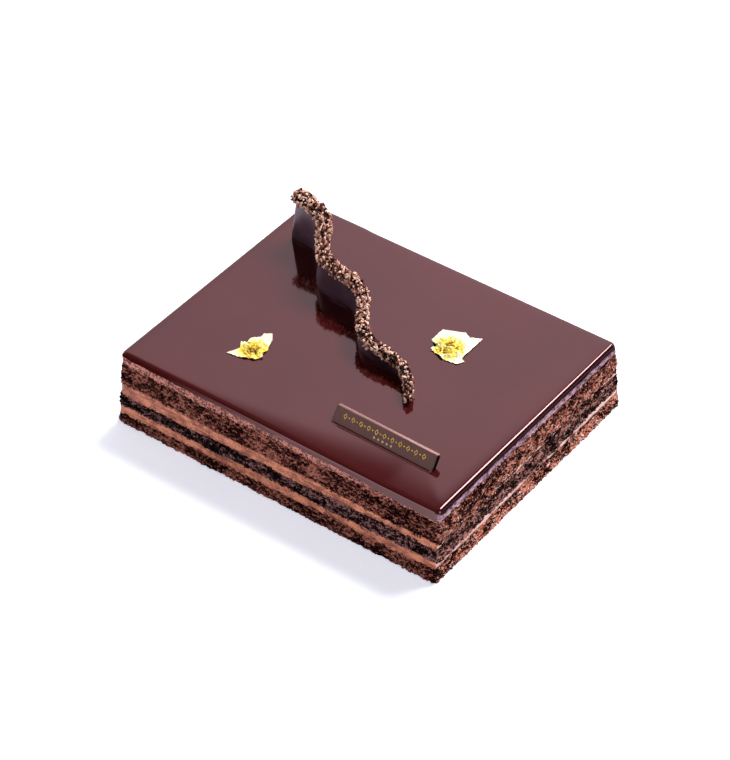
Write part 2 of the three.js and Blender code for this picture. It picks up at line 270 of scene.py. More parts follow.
# ---------------------------------------------------------------- lower ganache
# Milk chocolate ganache, spread on the biscuit and cut with it when cold. The knife leaves the
# cut side smooth, with faint streaks and a few thin cracks along it.
GANACHE_CUTS = 12
GANACHE_OVERLAP = 0.6 * MM
GANACHE_IN = 0.4 * MM
GANACHE_SHEEN_SHARE = 0.75
STREAK_SIZE = 1.1 * MM
BLOTCH_SIZE = 4 * MM
SPECK_SIZE = 0.715 * MM
GANACHE_SPECKLE = 1.4
GANACHE_LIGHT = "d08263"
GANACHE_DARK = "82402d"
GANACHE_SHEEN_COLOUR = "e6c3bd"


def ganache_material(name, light, dark, speckle):
    """Set ganache, cut: satin, with fine streaks that follow the knife along the cut, and a pale painted
    sheen where the piece is marked for it.
    """
    material, tree = new_material(name)
    place = add_node(tree, "ShaderNodeTexCoord").outputs["Object"]
    along = add_node(
        tree, "ShaderNodeMapping", {"Vector": place, "Scale": (0.12, 0.12, 1)}
    ).outputs["Vector"]
    dry = add_node(tree, "ShaderNodeAttribute", attribute_name="dry").outputs["Fac"]
    streak = add_node(tree, "ShaderNodeTexNoise", {"Vector": along, "Scale": 1 / STREAK_SIZE, "Detail": 4})
    blotch = add_node(tree, "ShaderNodeTexNoise", {"Vector": place, "Scale": 1 / BLOTCH_SIZE, "Detail": 3})
    speck = add_node(tree, "ShaderNodeTexNoise", {"Vector": place, "Scale": 1 / SPECK_SIZE, "Detail": 2})
    gains = (1.6, 1.8, speckle)
    shade = 0.5 - sum(gains) / 2
    for source, gain in zip((streak, blotch, speck), gains):
        shade = add_node(
            tree, "ShaderNodeMath", {0: source.outputs["Fac"], 1: gain, 2: shade}, operation="MULTIPLY_ADD"
        ).outputs[0]
    colour = add_node(tree, "ShaderNodeValToRGB", {"Fac": shade})
    set_ramp(colour, [(0.15, dark), (0.85, light)])
    painted_reflection = add_node(tree, "ShaderNodeMix", data_type="RGBA")
    tree.links.new(dry, painted_reflection.inputs[0])
    tree.links.new(colour.outputs["Color"], painted_reflection.inputs[6])
    painted_reflection.inputs[7].default_value = linear(GANACHE_SHEEN_COLOUR)
    bump = add_node(
        tree, "ShaderNodeBump", {"Height": streak.outputs["Fac"], "Strength": 0.35, "Distance": 0.2 * MM}
    )
    surface = add_node(tree, "ShaderNodeBsdfPrincipled", {
        "Base Color": painted_reflection.outputs[2],
        "Roughness": 0.5,
        "IOR": 1.45,
        "Specular IOR Level": 0.3,
        "Normal": bump.outputs["Normal"],
    })
    add_node(tree, "ShaderNodeOutputMaterial", {"Surface": surface.outputs["BSDF"]})
    return material


def spread(piece, above, below):
    """Lets a ganache layer's cut side reach a little behind the layers above and below it.

    At the right end it lies further in, and its cut there is painted paler, as a painted sheen.
    """
    side = divide_side(piece, GANACHE_CUTS)
    dry = piece.data.attributes.new("dry", "FLOAT", "POINT")
    heights = [vertex.co.z for vertex in side]
    middle = (min(heights) + max(heights)) / 2
    facing = [vertex.normal.x for vertex in side]
    for vertex, rightward in zip(side, facing):
        right_end = graded(rightward, 0.4, 0.9)
        # Painted sheen: the right-facing cut is painted paler.
        dry.data[vertex.index].value = GANACHE_SHEEN_SHARE * right_end
        vertex.co.x -= right_end * GANACHE_IN
        vertex.co.z += above if vertex.co.z > middle else -below


milk_ganache = ganache_material(
    "milk_chocolate_ganache", GANACHE_LIGHT, GANACHE_DARK, GANACHE_SPECKLE
)
lower_ganache = solid_copy("ganache_lower", "lower_ganache_spread")
spread(lower_ganache, GANACHE_OVERLAP, GANACHE_OVERLAP)
roughen(lower_ganache, "CLOUDS", size=6 * MM, height=0.5 * MM, noise_depth=2)
dress(lower_ganache, milk_ganache, "ganache", "ganache_lower")

# ---------------------------------------------------------------- middle biscuit
# The same sponge, laid on the ganache and soaked with dark syrup, which makes it almost black.
# At the right end the knife has dragged its crumb both ways.
SOAKED_PORE_SHADE = "080101"
SOAKED_CRUMB = "281214"
SOAKED_CREST_LIGHT = "86605f"

soaked_sponge = crumb_material("soaked_dark_sponge", SOAKED_PORE_SHADE, SOAKED_CRUMB, SOAKED_CREST_LIGHT)
middle_biscuit = solid_copy("biscuit_middle", "middle_biscuit_sheet")
crumble(
    middle_biscuit, seed=2, drag_down=0.6 * BISCUIT_DRAG, drag_up=BISCUIT_DRAG, smears=(0.35, 0.35)
)
dress(middle_biscuit, soaked_sponge, "dark_biscuit", "biscuit_middle")

# ---------------------------------------------------------------- upper ganache
# The second spread of the same ganache, thick at the left and thin at the right. It sticks the
# top sheet to the soaked one.
upper_ganache = solid_copy("ganache_upper", "upper_ganache_spread")
spread(upper_ganache, GANACHE_OVERLAP, GANACHE_OVERLAP)
roughen(upper_ganache, "CLOUDS", size=6 * MM, height=0.5 * MM, noise_depth=2)
dress(upper_ganache, milk_ganache, "ganache", "ganache_upper")

# ---------------------------------------------------------------- top biscuit
# The thickest sheet of the sponge, laid on last. It is the same batch as the bottom one, so it
# has the same colour and crumb.
top_biscuit = solid_copy("biscuit_top", "top_biscuit_sheet")
crumble(top_biscuit, seed=3, drag_down=BISCUIT_DRAG, drag_up=0, smears=(0.75, 0.25))
dress(top_biscuit, chocolate_sponge, "chocolate_biscuit", "biscuit_top")

# ---------------------------------------------------------------- top ganache
# Whipped ganache that levels the cake under the glaze. It shows as a pale wedge at the front,
# a little crumbly where the knife came out.
WHIPPED_OVERLAP = 0.5 * MM
WHIPPED_SPECKLE = 3.4
WHIPPED_LIGHT = "cc7f6f"
WHIPPED_DARK = "44150d"

top_ganache = solid_copy("ganache_top", "top_ganache_spread")
spread(top_ganache, WHIPPED_OVERLAP, GANACHE_OVERLAP)
roughen(top_ganache, "CLOUDS", size=1.1 * MM, height=0.9 * MM, noise_depth=2)
whipped_ganache = ganache_material("whipped_ganache", WHIPPED_LIGHT, WHIPPED_DARK, WHIPPED_SPECKLE)
dress(top_ganache, whipped_ganache, "ganache", "ganache_top")

# ---------------------------------------------------------------- glaze
# Mirror glaze of cocoa, sugar and gelatine, poured over the cold cake. It finds its level, falls
# a little towards the front, turns over a soft rim and runs down the sides as a thin hem.
CAKE_LENGTH = 160 * MM
CAKE_WIDTH = 126 * MM
CAKE_HEIGHT = 36 * MM
FLARE_LENGTH = 1.4 * MM
FLARE_WIDTH = 3.6 * MM

GLAZE_LOW = 30 * MM
GLAZE_PROUD = 0.35 * MM
GLAZE_SKIN = 0.1 * MM
GLAZE_CELL = 2 * MM
GLAZE_CORNER = 2.4 * MM
GLAZE_RIM = 1.5 * MM
GLAZE_HEM = 0.9 * MM
GLAZE_POCKET = 4.4 * MM
GLAZE_FALL = 0.032
GLAZE_SLOPE = (3 * MM, 33 * MM)
GLAZE_SLOPE_RIGHT = 5 * MM
RIM_FRONT = (0.75, 1.1)
RIM_RIGHT = 1.7
RIM_CHANGE = 2 * MM

HEM_WAVE = 0.45 * MM
HEM_WAVE_SIZES = (5 * MM, 1.7 * MM)
HEM_FRONT = (34.5 * MM, 32.3 * MM)
HEM_BACK = (33.0 * MM, 31.6 * MM)
HEM_STEP = 1.0 * MM
HEM_STEP_FROM = 44.5 * MM
HEM_STEP_TO = 47.5 * MM
HEM_RAGGED_END = 3 * MM

GLAZE_CLOUD = 40 * MM
GLAZE_COLOURS = ("3b0e0f", "431112")
GLAZE_GLOSS = 0.85
GLAZE_TINT = "ffc2c3"
RIM_DULL_LEFT = (-55 * MM, 5 * MM)
RIGHT_FLANK_SHADE = "160304"
RIM_TURN = (CAKE_HEIGHT - 0.1 * MM, CAKE_HEIGHT - 0.6 * MM)
HEM_REFLECTION_PALE = "b08e9e"
HEM_REFLECTION_DARK = "4a2c34"
HEM_LEFT = "2e0f12"
HEM_REACH = (33.4 * MM, 34.6 * MM)
HEM_RISE_RIGHT = 0.4 * MM
HEM_RAGGED = 1.6 * MM
HEM_MOTTLE = 2.22 * MM
HEM_FLECK = 0.59 * MM


def glaze_material():
    """Mirror glaze: deep red-brown cocoa under a smooth, wet-looking skin.

    Where it turns to the right it is painted darker, as painted shade. The hem is a thin film, dark at the
    front;
    on the right side, over the ganache, it is painted mottled lilac, a painted reflection of the white
    floor.
    """
    material, tree = new_material("mirror_glaze")
    place = add_node(tree, "ShaderNodeTexCoord").outputs["Object"]
    parts = add_node(tree, "ShaderNodeSeparateXYZ", {"Vector": place})
    facing = add_node(tree, "ShaderNodeTexCoord").outputs["Normal"]
    to_right = add_node(tree, "ShaderNodeSeparateXYZ", {"Vector": facing}).outputs["X"]
    side = add_node(tree, "ShaderNodeClamp", {"Value": to_right}).outputs[0]

    cloud = add_node(tree, "ShaderNodeTexNoise", {"Vector": place, "Scale": 1 / GLAZE_CLOUD, "Detail": 2})
    colour = add_node(tree, "ShaderNodeValToRGB", {"Fac": cloud.outputs["Fac"]})
    set_ramp(colour, [(0.35, GLAZE_COLOURS[0]), (0.65, GLAZE_COLOURS[1])])
    # Painted shade: glaze that turns to the right is painted darker.
    deep = add_node(tree, "ShaderNodeMix", {0: side}, data_type="RGBA", clamp_factor=True)
    tree.links.new(colour.outputs["Color"], deep.inputs[6])
    deep.inputs[7].default_value = linear(RIGHT_FLANK_SHADE)

    # Painted reflection: on the right side the hem is painted mottled lilac.
    along = add_node(tree, "ShaderNodeMapping", {"Vector": place, "Scale": (0.4, 0.4, 1)}).outputs["Vector"]
    fleck = add_node(tree, "ShaderNodeTexNoise", {"Vector": along, "Scale": 1 / HEM_FLECK, "Detail": 2})
    painted_reflection = add_node(tree, "ShaderNodeValToRGB", {"Fac": fleck.outputs["Fac"]})
    set_ramp(painted_reflection, [(0.38, HEM_REFLECTION_PALE), (0.62, HEM_REFLECTION_DARK)])
    hem = add_node(tree, "ShaderNodeMix", {0: to_right}, data_type="RGBA", clamp_factor=True)
    hem.inputs[6].default_value = linear(HEM_LEFT)
    tree.links.new(painted_reflection.outputs["Color"], hem.inputs[7])

    mottle = add_node(tree, "ShaderNodeTexNoise", {"Vector": along, "Scale": 1 / HEM_MOTTLE, "Detail": 3})
    ragged = add_node(
        tree,
        "ShaderNodeMath",
        {0: mottle.outputs["Fac"], 1: HEM_RAGGED, 2: parts.outputs["Z"]},
        operation="MULTIPLY_ADD",
    ).outputs[0]
    ragged = add_node(
        tree, "ShaderNodeMath", {0: side, 1: HEM_RISE_RIGHT, 2: ragged}, operation="MULTIPLY_ADD"
    ).outputs[0]
    low = add_node(
        tree,
        "ShaderNodeMapRange",
        {0: ragged, 1: HEM_REACH[1] + HEM_RAGGED / 2, 2: HEM_REACH[0] + HEM_RAGGED / 2},
    ).outputs[0]
    skin = add_node(tree, "ShaderNodeMix", {0: low}, data_type="RGBA", clamp_factor=True)
    tree.links.new(deep.outputs[2], skin.inputs[6])
    tree.links.new(hem.outputs[2], skin.inputs[7])

    left = add_node(
        tree, "ShaderNodeMapRange", {0: parts.outputs["X"], 1: RIM_DULL_LEFT[1], 2: RIM_DULL_LEFT[0]}
    ).outputs[0]
    turned = add_node(
        tree, "ShaderNodeMapRange", {0: parts.outputs["Z"], 1: RIM_TURN[0], 2: RIM_TURN[1]}
    ).outputs[0]
    flank = add_node(tree, "ShaderNodeMapRange", {0: to_right, 1: 0.7, 2: 0.95}).outputs[0]
    plain = add_node(tree, "ShaderNodeMath", {0: left, 1: flank}, operation="MAXIMUM").outputs[0]
    bare = add_node(tree, "ShaderNodeMath", {0: turned, 1: plain}, operation="MULTIPLY").outputs[0]
    shine = add_node(tree, "ShaderNodeMapRange", {0: bare, 3: GLAZE_GLOSS, 4: 0.0}).outputs[0]
    surface = add_node(tree, "ShaderNodeBsdfPrincipled", {
        "Base Color": skin.outputs[2],
        "Roughness": 0.07,
        "IOR": 1.5,
        "Specular IOR Level": shine,
        "Specular Tint": linear(GLAZE_TINT),
    })
    add_node(tree, "ShaderNodeOutputMaterial", {"Surface": surface.outputs["BSDF"]})
    return material


def select_where(piece, elements, test):
    """Selects the faces or edges of a piece that pass a test, and nothing else."""
    bpy.ops.object.mode_set(mode="OBJECT")
    mesh = piece.data
    for group in (mesh.vertices, mesh.edges, mesh.polygons):
        group.foreach_set("select", [False] * len(group))
    for element in getattr(mesh, elements):
        element.select = test(element)
    bpy.ops.object.mode_set(mode="EDIT")
    bpy.ops.mesh.select_mode(type="EDGE" if elements == "edges" else "FACE")


def ends(piece, edge):
    """The places of an edge's two ends."""
    return [piece.data.vertices[index].co for index in edge.vertices]


glaze_top = CAKE_HEIGHT + GLAZE_SKIN
glaze_tall = glaze_top - GLAZE_LOW
flare_share = (CAKE_HEIGHT - GLAZE_LOW) / CAKE_HEIGHT
bpy.ops.mesh.primitive_cube_add(
    size=1,
    location=(0, 0, GLAZE_LOW + glaze_tall / 2),
    scale=(CAKE_LENGTH + 2 * GLAZE_PROUD, CAKE_WIDTH + 2 * GLAZE_PROUD, glaze_tall),
)
glaze = bpy.context.active_object
glaze.name = "poured_glaze"
bpy.ops.object.transform_apply(location=True, rotation=True, scale=True)
select_where(glaze, "polygons", lambda face: face.normal.z < -0.9)
flare = (1 + 2 * flare_share * FLARE_LENGTH / CAKE_LENGTH, 1 + 2 * flare_share * FLARE_WIDTH / CAKE_WIDTH, 1)
bpy.ops.transform.resize(value=flare, center_override=(0, 0, GLAZE_LOW))
select_where(glaze, "edges", lambda edge: abs(ends(glaze, edge)[0].z - ends(glaze, edge)[1].z) > 1 * MM)
bpy.ops.mesh.bevel(offset=GLAZE_CORNER, segments=6)
select_where(glaze, "edges", lambda edge: min(end.z for end in ends(glaze, edge)) > glaze_top - 0.01 * MM)
bpy.ops.mesh.bevel(offset=GLAZE_RIM, segments=8)
for axis, reach in ((Vector((1, 0, 0)), CAKE_LENGTH / 2), (Vector((0, 1, 0)), CAKE_WIDTH / 2)):
    cuts = round(2 * reach / GLAZE_CELL)
    for cut in range(1, cuts):
        bpy.ops.mesh.select_all(action="SELECT")
        bpy.ops.mesh.bisect(plane_co=axis * (2 * reach * cut / cuts - reach), plane_no=axis)
select_where(glaze, "polygons", lambda face: face.normal.z < -0.9999)
bpy.ops.mesh.inset(thickness=GLAZE_HEM)
bpy.ops.mesh.extrude_region_move(TRANSFORM_OT_translate={"value": (0, 0, GLAZE_POCKET)})
bpy.ops.object.mode_set(mode="OBJECT")
for vertex in glaze.data.vertices:
    x, y, z = vertex.co
    right = graded(x, -CAKE_LENGTH / 2, CAKE_LENGTH / 2)
    back = graded(y, -CAKE_WIDTH / 2, CAKE_WIDTH / 2)
    to_right = CAKE_LENGTH / 2 - x
    to_front = CAKE_WIDTH / 2 + y
    if z < GLAZE_LOW + 0.1 * MM:
        front_hem = graded(right, 0, 1, *HEM_FRONT) - graded(x, HEM_STEP_FROM, HEM_STEP_TO, 0, HEM_STEP)
        wave = noise.noise(Vector((x, y, 0)) / HEM_WAVE_SIZES[0])
        wave += 0.6 * noise.noise(Vector((x, y, 0)) / HEM_WAVE_SIZES[1])
        ragged = graded(abs(to_right), HEM_RAGGED_END, 0, 1, 2.5)
        hem_foot = graded(back, 0, 1, front_hem, graded(right, 0, 1, *HEM_BACK))
        vertex.co.z = hem_foot + HEM_WAVE * ragged * wave
    elif z > glaze_top - GLAZE_RIM - 0.1 * MM:
        at_right = graded(to_front - to_right, -RIM_CHANGE, RIM_CHANGE)
        tall = graded(at_right, 0, 1, graded(right, 0, 1, *RIM_FRONT), RIM_RIGHT)
        # The fall is widest at the front, a little right of the middle, and narrow at the back.
        near_front = min(right * right, 2.2 * (1.15 - right)) * graded(back, 0.75, 0.25)
        slope = GLAZE_SLOPE[0] + near_front * (GLAZE_SLOPE[1] - GLAZE_SLOPE[0])
        slope = graded(at_right, 0, 1, slope, GLAZE_SLOPE_RIGHT)
        to_edge = min(CAKE_LENGTH / 2 - abs(x), CAKE_WIDTH / 2 - abs(y))
        short = graded(to_edge, slope, 0)
        vertex.co.z = glaze_top - tall * (glaze_top - z) - GLAZE_FALL * slope * short * short
bpy.ops.object.shade_smooth_by_angle(angle=math.radians(50))
dress(glaze, glaze_material(), "chocolate_glaze", "chocolate_glaze")

# ---------------------------------------------------------------- ribbon
# A strip of tempered dark chocolate, laid in waves while soft and stood on edge in the glaze
# when set. Good tempering gives it a smooth skin with a satin shine. Where the waves turn to the
# right, most of all towards its low front end, it is painted near black and its shine is taken
# off, as painted shade.
RIBBON_DARK = "48333d"
RIBBON_LIGHT = "5b4250"
RIBBON_SHEEN = "ffdcee"
SHADED_CHOCOLATE = "080203"
SHADE_FACING = (-0.55, 0.0)
SHADE_PART = (-35 * MM, 0.0)
SHADE_SHARE = (0.1, 0.75)
CHOCOLATE_BLOOM = 11 * MM


def chocolate_material(name, dark, light, roughness, gloss, tint, marks):
    """Dark chocolate: smooth and satin where it set against a mould, with the faintest bloom.

    Each mark is an attribute of the piece and the colour that it paints there. Where the
    painted shade mark lies, the shine is taken off too.
    """
    material, tree = new_material(name)
    place = add_node(tree, "ShaderNodeTexCoord").outputs["Object"]
    bloom = add_node(
        tree, "ShaderNodeTexNoise", {"Vector": place, "Scale": 1 / CHOCOLATE_BLOOM, "Detail": 4}
    )
    colour = add_node(tree, "ShaderNodeValToRGB", {"Fac": bloom.outputs["Fac"]})
    set_ramp(colour, [(0.35, dark), (0.7, light)])
    skin = colour.outputs["Color"]
    for mark, mark_colour in marks.items():
        share = add_node(tree, "ShaderNodeAttribute", attribute_name=mark).outputs["Fac"]
        mix = add_node(tree, "ShaderNodeMix", {0: share}, data_type="RGBA", clamp_factor=True)
        tree.links.new(skin, mix.inputs[6])
        mix.inputs[7].default_value = linear(mark_colour)
        skin = mix.outputs[2]
    painted_shade = add_node(tree, "ShaderNodeAttribute", attribute_name="painted_shade").outputs["Fac"]
    shine = add_node(tree, "ShaderNodeMapRange", {0: painted_shade, 3: gloss, 4: 0.0}).outputs[0]
    surface = add_node(tree, "ShaderNodeBsdfPrincipled", {
        "Base Color": skin,
        "Roughness": roughness,
        "IOR": 1.5,
        "Specular IOR Level": shine,
        "Specular Tint": linear(tint),
    })
    add_node(tree, "ShaderNodeOutputMaterial", {"Surface": surface.outputs["BSDF"]})
    return material


tempered_chocolate = chocolate_material(
    "tempered_chocolate", RIBBON_DARK, RIBBON_LIGHT, 0.28, 0.9, RIBBON_SHEEN, {"painted_shade": SHADED_CHOCOLATE}
)
ribbon = solid_copy("chocolate_ribbon", "wavy_chocolate_ribbon")
bpy.ops.object.mode_set(mode="EDIT")
bpy.ops.mesh.select_all(action="SELECT")
bpy.ops.mesh.tris_convert_to_quads(face_threshold=math.radians(60), shape_threshold=math.radians(60))
bpy.ops.mesh.select_all(action="DESELECT")
bpy.ops.mesh.select_mode(type="EDGE")
bpy.ops.mesh.edges_select_sharp(sharpness=math.radians(50))
bpy.ops.transform.edge_crease(value=0.9)
bpy.ops.object.mode_set(mode="OBJECT")
smoothing = ribbon.modifiers.new("smoothing", "SUBSURF")
smoothing.levels = 2
smoothing.render_levels = 2
bpy.ops.object.modifier_apply(modifier=smoothing.name)
bpy.ops.object.shade_smooth_by_angle(angle=math.radians(50))
# Painted shade: where the waves turn to the right, towards the front end, they are painted near black.
painted_shade = ribbon.data.attributes.new("painted_shade", "FLOAT", "POINT")
for vertex in ribbon.data.vertices:
    turned = graded(vertex.normal.x, *SHADE_FACING)
    painted_shade.data[vertex.index].value = turned * graded(vertex.co.x, *SHADE_PART, *SHADE_SHARE)
dress(ribbon, tempered_chocolate, "dark_chocolate", "chocolate_ribbon")

# ---------------------------------------------------------------- crust of grains
# Chopped, roasted cocoa nibs and praline, rolled on along the ribbon's edge, where melted
# chocolate holds them. Each grain is an angular chip of about a millimetre and a half.
GRAIN_SIZES = (1.0 * MM, 2.1 * MM)
GRAIN_SPACING = 1.0 * MM
GRAIN_KINDS = 8
GRAIN_TRIES = 34000
GRAIN_SUNK = 0.45 * MM
GRAIN_STRAY = (-0.35 * MM, 0.5 * MM)
GRAIN_TONES = (-0.1, 0.75)
NIB_CUTS = 5
NIB_CUT_DEPTH = (0.24, 0.38)
NIB_LENGTH = 1.15
NIB_WIDTH = (0.55, 0.85)
NIB_THICKNESS = (0.4, 0.65)
NIB_FLECK = 0.667 * MM
NIB_COLOURS = ("150404", "8c4a38", "fcd0bc")
CORE_SHRINK = 1.0 * MM
CORE_SHADE_COLOURS = ("0c0302", "160705")


def nib_shape(seed):
    """One angular chip, about one unit long: its corners and its faces."""
    bpy.ops.mesh.primitive_ico_sphere_add(subdivisions=2, radius=0.5)
    chip = bpy.context.active_object
    chance = random.Random(seed)
    flat = Vector((NIB_LENGTH, chance.uniform(*NIB_WIDTH), chance.uniform(*NIB_THICKNESS)))
    for _ in range(NIB_CUTS):
        away = Vector([chance.uniform(-1, 1) for _ in range(3)]).normalized()
        bpy.ops.object.mode_set(mode="EDIT")
        bpy.ops.mesh.select_all(action="SELECT")
        bpy.ops.mesh.bisect(
            plane_co=away * chance.uniform(*NIB_CUT_DEPTH), plane_no=away, clear_outer=True, use_fill=True
        )
        bpy.ops.object.mode_set(mode="OBJECT")
    thinning = chip.modifiers.new("thinning", "DECIMATE")
    thinning.ratio = 0.3
    bpy.ops.object.modifier_apply(modifier=thinning.name)
    corners = [Vector((v.co.x * flat.x, v.co.y * flat.y, v.co.z * flat.z)) for v in chip.data.vertices]
    faces = [list(face.vertices) for face in chip.data.polygons]
    bpy.data.objects.remove(chip)
    return corners, faces


def surface_places(piece, count, chance):
    """Random places all over a piece's surface, each with the direction that faces out."""
    mesh = piece.data
    mesh.calc_loop_triangles()
    triangles = [[mesh.vertices[i].co for i in triangle.vertices] for triangle in mesh.loop_triangles]
    outward = [triangle.normal.copy() for triangle in mesh.loop_triangles]
    areas = [triangle.area for triangle in mesh.loop_triangles]
    for index in chance.choices(range(len(triangles)), weights=areas, k=count):
        a, b, c = triangles[index]
        s, t = chance.random(), chance.random()
        if s + t > 1:
            s, t = 1 - s, 1 - t
        yield a + s * (b - a) + t * (c - a), outward[index]


def grain_material():
    """Roasted nibs: matt, each grain of its own tone from dark brown to pale tan, with fine flecks."""
    material, tree = new_material("roasted_cocoa_nibs")
    place = add_node(tree, "ShaderNodeTexCoord").outputs["Object"]
    tone = add_node(tree, "ShaderNodeAttribute", attribute_name="tone")
    fleck = add_node(tree, "ShaderNodeTexNoise", {"Vector": place, "Scale": 1 / NIB_FLECK, "Detail": 3})
    shade = add_node(
        tree,
        "ShaderNodeMath",
        {0: fleck.outputs["Fac"], 1: 0.5, 2: tone.outputs["Fac"]},
        operation="MULTIPLY_ADD",
    )
    colour = add_node(tree, "ShaderNodeValToRGB", {"Fac": shade.outputs[0]})
    set_ramp(colour, list(zip((0.2, 0.45, 0.8), NIB_COLOURS)))
    bump = add_node(
        tree, "ShaderNodeBump", {"Height": fleck.outputs["Fac"], "Strength": 0.5, "Distance": 0.25 * MM}
    )
    surface = add_node(tree, "ShaderNodeBsdfPrincipled", {
        "Base Color": colour.outputs["Color"],
        "Roughness": 0.6,
        "IOR": 1.45,
        "Specular IOR Level": 0.15,
        "Normal": bump.outputs["Normal"],
    })
    add_node(tree, "ShaderNodeOutputMaterial", {"Surface": surface.outputs["BSDF"]})
    return material


crust_shade_chocolate = chocolate_material(
    "shaded_chocolate_under_the_nibs", *CORE_SHADE_COLOURS, roughness=0.8, gloss=0.1, tint="ffffff", marks={}
)
core = solid_copy("grain_crust", "crust_core")
chance = random.Random(7)
nibs = [nib_shape(seed) for seed in range(GRAIN_KINDS)]
taken = {}
corners, faces, tones = [], [], []
for place, out in surface_places(core, GRAIN_TRIES, chance):
    cell = tuple(int(math.floor(value / GRAIN_SPACING)) for value in place)
    near = [
        other
        for dx in (-1, 0, 1) for dy in (-1, 0, 1) for dz in (-1, 0, 1)
        for other in taken.get((cell[0] + dx, cell[1] + dy, cell[2] + dz), ())
    ]
    if any((other - place).length < GRAIN_SPACING for other in near):
        continue
    taken.setdefault(cell, []).append(place)
    size = chance.uniform(*GRAIN_SIZES)
    turn = Euler([chance.uniform(0, 2 * math.pi) for _ in range(3)]).to_matrix()
    centre = place - out * (GRAIN_SUNK + chance.uniform(*GRAIN_STRAY))
    shape, sides = chance.choice(nibs)
    start = len(corners)
    corners.extend(centre + turn @ corner * size for corner in shape)
    faces.extend([start + index for index in side] for side in sides)
    tones.extend([chance.uniform(*GRAIN_TONES)] * len(shape))
grain_mesh = bpy.data.meshes.new("cocoa_nib_grains")
grain_mesh.from_pydata(corners, [], faces)
grain_mesh.attributes.new("tone", "FLOAT", "POINT").data.foreach_set("value", tones)
grains = bpy.data.objects.new("cocoa_nib_grains", grain_mesh)
bpy.context.collection.objects.link(grains)
dress(grains, grain_material(), "praline_grains", "grain_crust")

# The core that holds the grains is drawn in, so that it shows only in the gaps between them; it is chocolate
# painted near black as the shade in those gaps.
bpy.ops.object.select_all(action="DESELECT")
core.select_set(True)
bpy.context.view_layer.objects.active = core
bpy.ops.object.mode_set(mode="EDIT")
bpy.ops.mesh.select_all(action="SELECT")
bpy.ops.transform.shrink_fatten(value=-CORE_SHRINK)
bpy.ops.object.mode_set(mode="OBJECT")
dress(core, crust_shade_chocolate, "dark_chocolate", "grain_crust")

# ---------------------------------------------------------------- plaque
# A small bevelled tablet of dark chocolate, cast in a mould and pushed into the glaze so that
# it leans back. A row of gold lozenges and dots is printed on its face.
TABLET_LENGTH = 50.0 * MM
TABLET_HEIGHT = 7.7 * MM
TABLET_THICKNESS = 2.7 * MM
TABLET_BEVEL = 0.5 * MM
TABLET_DRAFT = 0.15 * MM
TABLET_LEAN = math.radians(33)
TABLET_TURN = math.radians(-1)
TABLET_SUNK = 2.5 * MM
TABLET_FOOT = Vector((39.6 * MM, -46.2 * MM, CAKE_HEIGHT))
TABLET_COLOURS = ("301f1e", "3b2827")
TABLET_SHEEN = "ffc4bc"
HIGHLIGHT_EDGE = "986f6b"
MARK_MARGIN = 0.05 * MM

moulded_chocolate = chocolate_material(
    "moulded_chocolate",
    *TABLET_COLOURS,
    roughness=0.42,
    gloss=0.9,
    tint=TABLET_SHEEN,
    marks={"painted_shade": SHADED_CHOCOLATE, "painted_highlight": HIGHLIGHT_EDGE},
)
tablet_turn = Euler((-TABLET_LEAN, 0, TABLET_TURN))
tablet_frame = Matrix.LocRotScale(TABLET_FOOT, tablet_turn, None)
tablet_middle = Vector((0, TABLET_THICKNESS / 2, (TABLET_HEIGHT - TABLET_SUNK) / 2))
bpy.ops.mesh.primitive_cube_add(
    size=1,
    location=tablet_frame @ tablet_middle,
    rotation=tablet_turn,
    scale=(TABLET_LENGTH, TABLET_THICKNESS, TABLET_HEIGHT + TABLET_SUNK),
)
tablet = bpy.context.active_object
tablet.name = "bevelled_chocolate_tablet"
bpy.ops.object.transform_apply(location=True, rotation=True, scale=True)
for vertex in tablet.data.vertices:
    place = tablet_frame.inverted() @ vertex.co
    if place.y > TABLET_THICKNESS / 2 and place.z > TABLET_HEIGHT / 2:
        vertex.co = tablet_frame @ (place + Vector((0, 0, TABLET_DRAFT)))
bpy.ops.object.mode_set(mode="EDIT")
bpy.ops.mesh.select_all(action="SELECT")
bpy.ops.mesh.bevel(offset=TABLET_BEVEL, segments=1)
bpy.ops.mesh.select_all(action="SELECT")
bpy.ops.mesh.bisect(plane_co=(0, 0, CAKE_HEIGHT), plane_no=(0, 0, 1), clear_inner=True, use_fill=True)
bpy.ops.object.mode_set(mode="OBJECT")
bpy.ops.object.shade_smooth_by_angle(angle=math.radians(40))
# The top edge is painted paler, as a painted highlight, and the two ends near black, as painted shade.
for mark in ("painted_highlight", "painted_shade"):
    tablet.data.attributes.new(mark, "FLOAT", "POINT")
for vertex in tablet.data.vertices:
    place = tablet_frame.inverted() @ vertex.co
    at_top = place.z > TABLET_HEIGHT - MARK_MARGIN
    at_end = abs(place.x) > TABLET_LENGTH / 2 - MARK_MARGIN
    tablet.data.attributes["painted_highlight"].data[vertex.index].value = at_top
    tablet.data.attributes["painted_shade"].data[vertex.index].value = at_end
dress(tablet, moulded_chocolate, "dark_chocolate", "chocolate_plaque")

# The soft glaze closes round the foot of the tablet in a thin raised bead.
BEAD_RADIUS = 0.55 * MM
BEAD_LENGTH = TABLET_LENGTH - 0.4 * MM
BEAD_BEVEL = 0.45 * MM
BEAD_SUNK = 0.05 * MM
BEAD_CUT = 0.2 * MM

